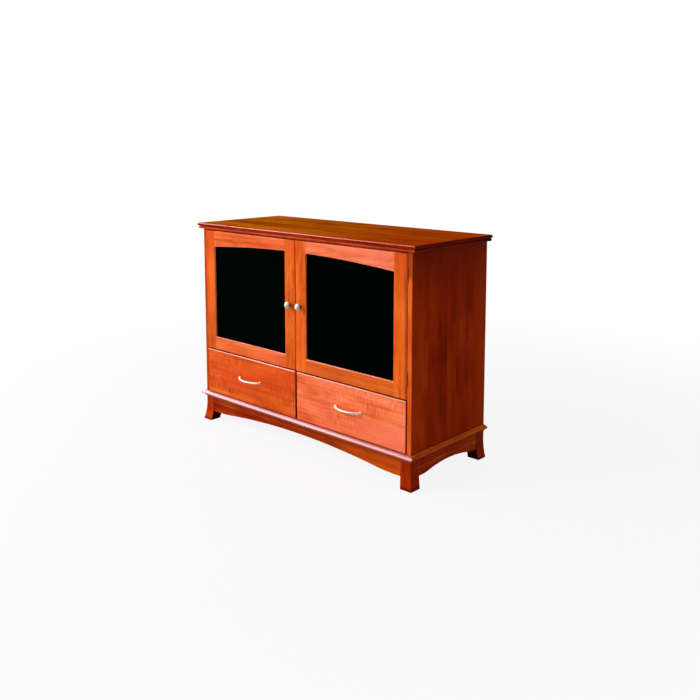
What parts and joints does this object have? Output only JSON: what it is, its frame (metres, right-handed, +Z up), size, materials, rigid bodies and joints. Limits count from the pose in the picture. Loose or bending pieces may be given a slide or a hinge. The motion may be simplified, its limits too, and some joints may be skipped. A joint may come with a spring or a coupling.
{
  "type": "tv stand",
  "caption": "Wooden television stand with glazed arched doors above drawers, moulded top, arched aprons and flared feet.",
  "frame": {"origin": "centre of the bounding box on the floor", "axes": "+Z up, -Y out of the doors and drawers towards the user, +X to the right of someone who faces the stand"},
  "size_m": [1.22, 0.497, 0.89],
  "materials": {
    "cherry_wood": "satin",
    "pale_wood": "matte",
    "black_glass": "gloss",
    "satin_nickel": "satin",
    "zinc_steel": "satin",
    "bronze": "satin",
    "dark_plastic": "matte"
  },
  "bodies": {
    "case": {"table_top": "cherry_wood", "side_panel_left": "cherry_wood", "side_panel_right": "cherry_wood", "back_panel": "pale_wood", "bottom_panel": "cherry_wood", "mid_panel": "cherry_wood", "centre_partition": "cherry_wood", "drawer_divider": "cherry_wood", "top_stretchers": "pale_wood", "shelf_left": "cherry_wood", "shelf_right": "cherry_wood", "shelf_pegs": "satin_nickel", "base_moulding_front": "cherry_wood", "base_moulding_left": "cherry_wood", "base_moulding_right": "cherry_wood", "apron_front": "cherry_wood", "apron_left": "cherry_wood", "apron_right": "cherry_wood", "apron_rear": "cherry_wood", "foot_front_left": "cherry_wood", "foot_front_right": "cherry_wood", "foot_rear_left": "cherry_wood", "foot_rear_right": "cherry_wood", "corner_braces": "pale_wood", "foot_glides": "dark_plastic", "case_screws": "zinc_steel", "door_catches": "dark_plastic", "hinge_case_leaves": "bronze", "hinge_pins": "bronze", "slide_rails": "zinc_steel"},
    "left_door": {"left_door_stile_outer": "cherry_wood", "left_door_stile_inner": "cherry_wood", "left_door_rail_top": "cherry_wood", "left_door_rail_bottom": "cherry_wood", "left_door_glass": "black_glass", "left_door_glass_stops": "cherry_wood", "left_door_knob": "satin_nickel", "left_door_hinge_leaves": "bronze", "left_door_fixings": "zinc_steel"},
    "right_door": {"right_door_stile_outer": "cherry_wood", "right_door_stile_inner": "cherry_wood", "right_door_rail_top": "cherry_wood", "right_door_rail_bottom": "cherry_wood", "right_door_glass": "black_glass", "right_door_glass_stops": "cherry_wood", "right_door_knob": "satin_nickel", "right_door_hinge_leaves": "bronze", "right_door_fixings": "zinc_steel"},
    "left_drawer": {"left_drawer_front": "cherry_wood", "left_drawer_sides": "pale_wood", "left_drawer_ends": "pale_wood", "left_drawer_bottom": "pale_wood", "left_drawer_pull": "satin_nickel", "left_drawer_runners": "zinc_steel"},
    "right_drawer": {"right_drawer_front": "cherry_wood", "right_drawer_sides": "pale_wood", "right_drawer_ends": "pale_wood", "right_drawer_bottom": "pale_wood", "right_drawer_pull": "satin_nickel", "right_drawer_runners": "zinc_steel"}
  },
  "joints": [
    {"name": "left_door_hinge", "type": "hinge", "parent": "case", "child": "left_door", "pos_m": [-0.567, -0.216, 0.59725], "axis": [0, 0, -1], "range_deg": [0, 110]},
    {"name": "right_door_hinge", "type": "hinge", "parent": "case", "child": "right_door", "pos_m": [0.567, -0.216, 0.59725], "axis": [0, 0, 1], "range_deg": [0, 110]},
    {"name": "left_drawer_slide", "type": "slide", "parent": "case", "child": "left_drawer", "axis": [0, -1, 0], "range_m": [0, 0.3]},
    {"name": "right_drawer_slide", "type": "slide", "parent": "case", "child": "right_drawer", "axis": [0, -1, 0], "range_m": [0, 0.3]}
  ]
}
